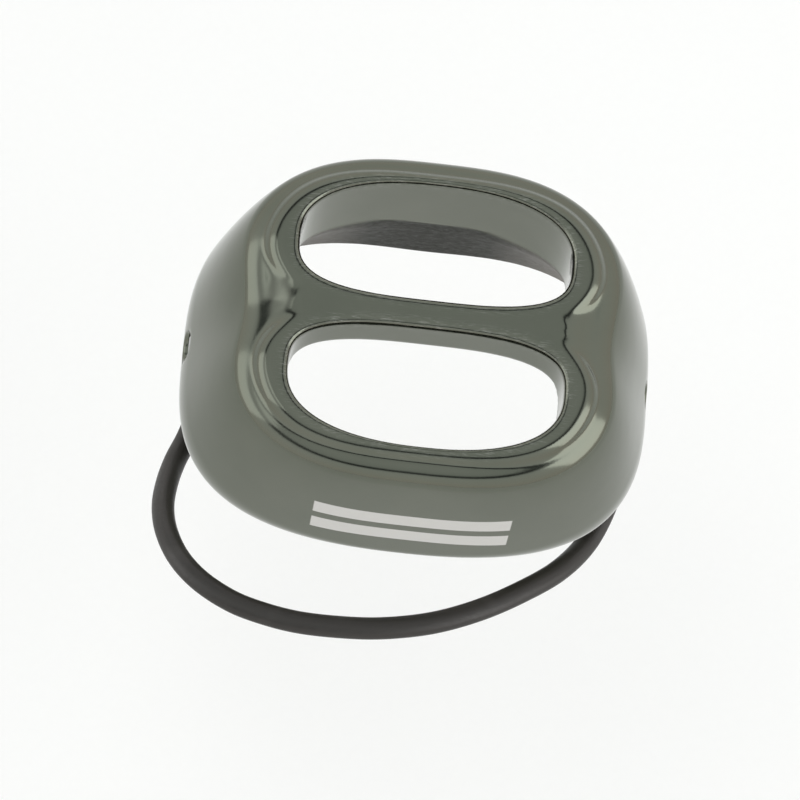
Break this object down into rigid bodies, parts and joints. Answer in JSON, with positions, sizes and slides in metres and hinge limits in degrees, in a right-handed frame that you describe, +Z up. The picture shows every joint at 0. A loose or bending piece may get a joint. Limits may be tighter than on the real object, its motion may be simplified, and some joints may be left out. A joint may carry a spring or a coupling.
{
  "type": "rope descender",
  "caption": "Tube belay and rappel device: a forged body with rope slots and a centre bar, and a swinging keeper loop.",
  "frame": {"origin": "middle of the body's flat base, where the carabiner pulls", "axes": "+X along the centre bar to the right, +Y away from the side that the keeper loop lies on, +Z up through the rope slots"},
  "size_m": [0.0621, 0.0632, 0.0263],
  "materials": {
    "anodised_body": "polished, anodised dark grey-green",
    "loop_jacket": "satin black",
    "wire": "bright",
    "end_stop": "turned"
  },
  "bodies": {
    "descender_body": {"body": "anodised_body"},
    "keeper_loop": {"keeper_jacket": "loop_jacket", "keeper_wire": "wire", "left_end_stop": "end_stop", "right_end_stop": "end_stop"}
  },
  "joints": [
    {"name": "loop_swing", "type": "hinge", "parent": "descender_body", "child": "keeper_loop", "pos_m": [0, 0, 0.0044], "axis": [1, 0, 0], "range_deg": [0, 106]}
  ]
}
